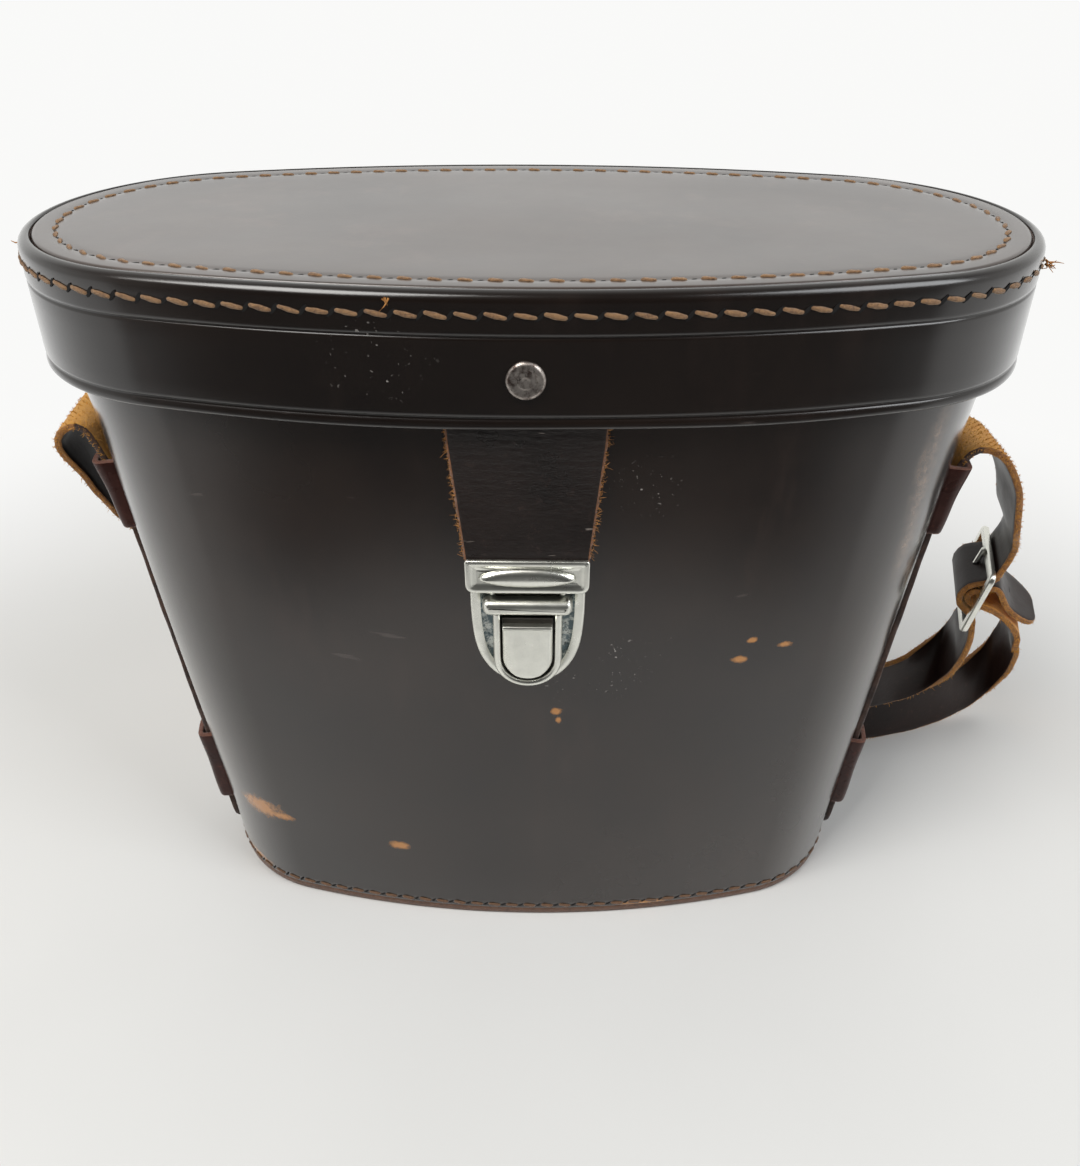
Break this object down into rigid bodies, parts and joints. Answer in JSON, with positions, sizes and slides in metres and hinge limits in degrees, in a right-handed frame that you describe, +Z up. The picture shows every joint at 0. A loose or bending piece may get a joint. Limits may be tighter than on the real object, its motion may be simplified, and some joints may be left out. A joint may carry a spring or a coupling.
{
  "type": "binocular hard case",
  "caption": "Vintage oval moulded leather binocular case with an overhanging hinged lid, a tuck lock and a buckled shoulder strap.",
  "frame": {"origin": "centre of the oval body on the floor plane, under the middle of the case", "axes": "+Z up to the lid, -Y out of the front where the lock is, +X to the right seen from the front"},
  "size_m": [0.2588, 0.1069, 0.1722],
  "materials": {
    "case_leather": "glossy moulded, near-black brown",
    "panel_leather": "smooth, slightly grey brown",
    "tab_leather": "oiled brown with raw orange edges",
    "keeper_leather": "dark reddish brown",
    "strap_leather": "brown skin side, golden suede flesh side",
    "board": "pressed fibreboard",
    "felt": "short dark red felt",
    "nickel": "worn nickel plate",
    "nickel_dull": "tarnished nickel plate",
    "rivet_tin": "mottled grey",
    "steel": "plain",
    "brass": "dull"
  },
  "bodies": {
    "body": {"body_shell": "case_leather", "base_plate": "case_leather", "base_pad": "felt", "body_lining": "board", "body_hinge_leaf": "tab_leather", "lock_base": "nickel_dull", "lock_cover": "nickel", "lock_spring": "steel", "lock_backplate": "steel", "lock_rivet_left": "steel", "lock_rivet_right": "steel", "upper_keeper_left": "keeper_leather", "upper_keeper_right": "keeper_leather", "lower_keeper_left": "keeper_leather", "lower_keeper_right": "keeper_leather", "tail_rivet_left": "brass", "tail_rivet_right": "brass", "strap_left": "strap_leather", "strap_right": "strap_leather", "buckle_frame": "nickel", "buckle_prong": "nickel_dull"},
    "lid": {"lid_band": "case_leather", "lid_panel": "panel_leather", "lid_board": "board", "lid_felt": "felt", "lid_hinge_leaf": "tab_leather", "lid_rivet": "rivet_tin", "lid_rivet_burr": "rivet_tin"},
    "hasp": {"closure_strap": "tab_leather", "hasp_plate": "nickel", "hasp_tongue": "nickel_dull", "hasp_pin_left": "steel", "hasp_pin_right": "steel"},
    "button": {"lock_button": "nickel"}
  },
  "joints": [
    {"name": "lid_hinge", "type": "hinge", "parent": "body", "child": "lid", "pos_m": [0, 0.048, 0.146], "axis": [-1, 0, 0], "range_deg": [0, 110]},
    {"name": "lock_slide", "type": "slide", "parent": "lid", "child": "hasp", "axis": [0, -0.0581, 0.9983], "range_m": [0, 0.006], "deforming": ["closure_strap"]},
    {"name": "lock_button", "type": "slide", "parent": "body", "child": "button", "axis": [0, 0.0581, -0.9983], "range_m": [0, 0.002], "stiffness_N_per_m": 900, "springref_m": -0.0006, "deforming": ["lock_spring"]}
  ]
}
